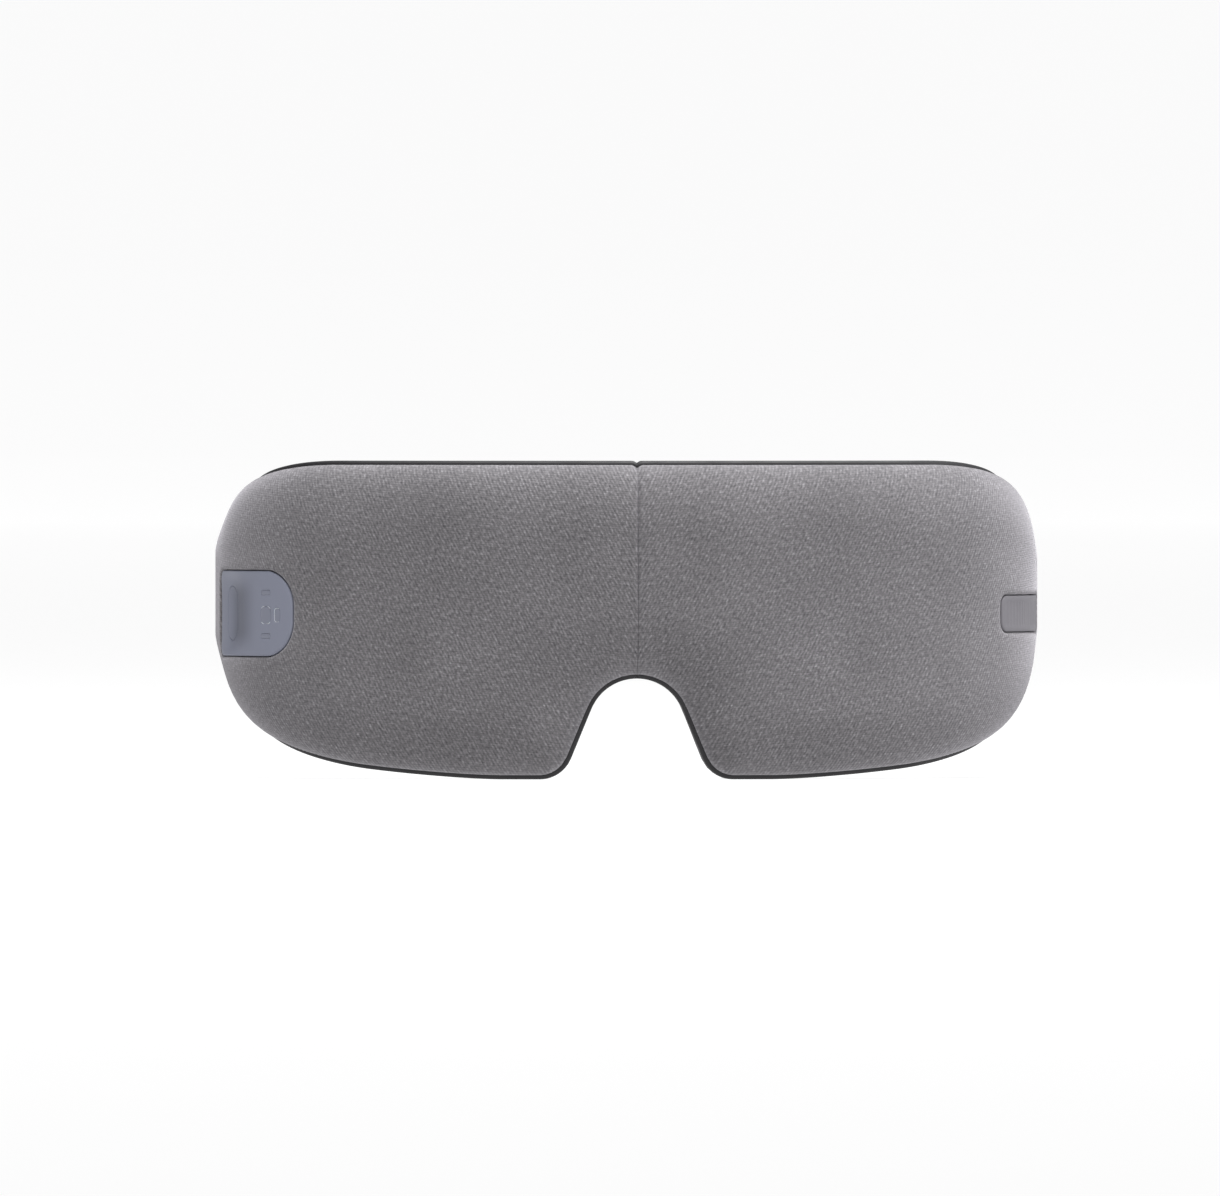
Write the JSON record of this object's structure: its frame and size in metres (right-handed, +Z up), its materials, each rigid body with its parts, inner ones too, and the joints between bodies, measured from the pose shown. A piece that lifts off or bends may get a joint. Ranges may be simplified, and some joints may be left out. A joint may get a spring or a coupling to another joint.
{
  "type": "eye massager mask",
  "caption": "Folding eye massager mask: two padded fabric-covered halves on a centre hinge, nose notch, control panel on one wing and an elastic head strap with a ring buckle.",
  "frame": {"origin": "under the middle of the whole object's box, on the surface that the mask stands on", "axes": "+X from the wearer's right wing with the control panel to the left wing, across the width, +Y from the fabric front towards the back of the head, +Z up"},
  "size_m": [0.2046, 0.171, 0.079],
  "materials": {
    "cover_fabric": "fine melange knit, matt",
    "gusset_fabric": "matt elastic knit",
    "strap_webbing": "woven elastic",
    "trim_plastic": "satin",
    "shell_plastic": "matt",
    "buckle_plastic": "satin",
    "pad_leather": "soft grain",
    "panel_plastic": "satin",
    "light_window": "frosted",
    "soft_silicone": "matt",
    "steel": "brushed",
    "brass": "machined",
    "copper_film": "etched film",
    "circuit_board": "solder mask",
    "battery_foil": "foil"
  },
  "bodies": {
    "bridge": {"hinge_pin": "steel", "hinge_top_cap": "shell_plastic", "hinge_bottom_cap": "shell_plastic", "hinge_rear_cover": "shell_plastic", "centre_gusset": "gusset_fabric", "bridge_air_hose": "soft_silicone", "bridge_ribbon_cable": "circuit_board"},
    "left_half": {"left_fabric_skin": "cover_fabric", "left_front_shell": "shell_plastic", "left_edge_trim": "trim_plastic", "left_rear_shell": "shell_plastic", "left_face_pad": "pad_leather", "left_airbag": "soft_silicone", "left_heating_film": "copper_film", "left_hinge_leaf": "steel", "left_housing_screw_1": "steel", "left_housing_screw_2": "steel", "left_housing_screw_3": "steel", "left_housing_screw_4": "steel", "left_hinge_screw_1": "steel", "left_hinge_screw_2": "steel", "left_strap_anchor": "shell_plastic", "left_vibration_motor": "steel", "left_speaker": "shell_plastic", "control_panel": "panel_plastic", "light_guide": "light_window", "tact_switch": "shell_plastic", "button_board": "circuit_board", "main_board": "circuit_board", "usb_c_port": "steel"},
    "right_half": {"right_fabric_skin": "cover_fabric", "right_front_shell": "shell_plastic", "right_edge_trim": "trim_plastic", "right_rear_shell": "shell_plastic", "right_face_pad": "pad_leather", "right_airbag": "soft_silicone", "right_heating_film": "copper_film", "right_hinge_leaf": "steel", "right_housing_screw_1": "steel", "right_housing_screw_2": "steel", "right_housing_screw_3": "steel", "right_housing_screw_4": "steel", "right_hinge_screw_1": "steel", "right_hinge_screw_2": "steel", "right_strap_anchor": "shell_plastic", "right_vibration_motor": "steel", "right_speaker": "shell_plastic", "side_label": "panel_plastic", "battery": "battery_foil", "pump_motor": "steel", "pump_head": "shell_plastic", "release_valve": "shell_plastic"},
    "left_arm": {"left_strap": "strap_webbing"},
    "right_arm": {"right_strap": "strap_webbing"},
    "buckle": {"strap_buckle": "buckle_plastic"},
    "power_button": {"power_button": "panel_plastic"},
    "left_weight": {"left_vibration_weight": "brass"},
    "right_weight": {"right_vibration_weight": "brass"},
    "pump_cam": {"pump_eccentric": "brass"},
    "valve_plunger": {"valve_plunger": "steel"}
  },
  "joints": [
    {"name": "left_fold", "type": "hinge", "parent": "bridge", "child": "left_half", "pos_m": [0, -0.06696, 0.052], "axis": [0, 0, -1], "range_deg": [0, 46], "deforming": ["centre_gusset", "bridge_air_hose", "bridge_ribbon_cable"]},
    {"name": "right_fold", "type": "hinge", "parent": "bridge", "child": "right_half", "pos_m": [0, -0.06696, 0.052], "axis": [0, 0, 1], "range_deg": [0, 46], "deforming": ["centre_gusset", "bridge_air_hose", "bridge_ribbon_cable"]},
    {"name": "left_strap_swing", "type": "hinge", "parent": "left_half", "child": "left_arm", "pos_m": [-0.0927, 0.00634, 0.0454], "axis": [0, 0, 1], "range_deg": [0, 92]},
    {"name": "right_strap_swing", "type": "hinge", "parent": "right_half", "child": "right_arm", "pos_m": [0.0927, 0.00634, 0.0454], "axis": [0, 0, -1], "range_deg": [0, 92]},
    {"name": "buckle_swing", "type": "hinge", "parent": "left_arm", "child": "buckle", "pos_m": [-0.005, 0.08176, 0.0454], "axis": [0, 0, -1], "range_deg": [0, 46]},
    {"name": "power_button_press", "type": "slide", "parent": "left_half", "child": "power_button", "axis": [0.972, 0.2349, 0], "range_m": [0, 0.0005], "stiffness_N_per_m": 900},
    {"name": "left_vibration_spin", "type": "hinge", "parent": "left_half", "child": "left_weight", "pos_m": [-0.05919, -0.06296, 0.028], "axis": [0, 0, 1], "continuous": true},
    {"name": "right_vibration_spin", "type": "hinge", "parent": "right_half", "child": "right_weight", "pos_m": [0.05919, -0.06296, 0.028], "axis": [0, 0, 1], "continuous": true},
    {"name": "pump_spin", "type": "hinge", "parent": "right_half", "child": "pump_cam", "pos_m": [0.07343, -0.05379, 0.043], "axis": [0, 0, 1], "continuous": true},
    {"name": "valve_plunger_slide", "type": "slide", "parent": "right_half", "child": "valve_plunger", "axis": [0, 0, -1], "range_m": [0, 0.001], "stiffness_N_per_m": 400}
  ],
  "couplings": [
    {"joint": "right_fold", "follows": "left_fold", "ratio": 1},
    {"joint": "left_strap_swing", "follows": "left_fold", "ratio": 2},
    {"joint": "right_strap_swing", "follows": "left_fold", "ratio": 2},
    {"joint": "buckle_swing", "follows": "left_fold", "ratio": 1}
  ]
}
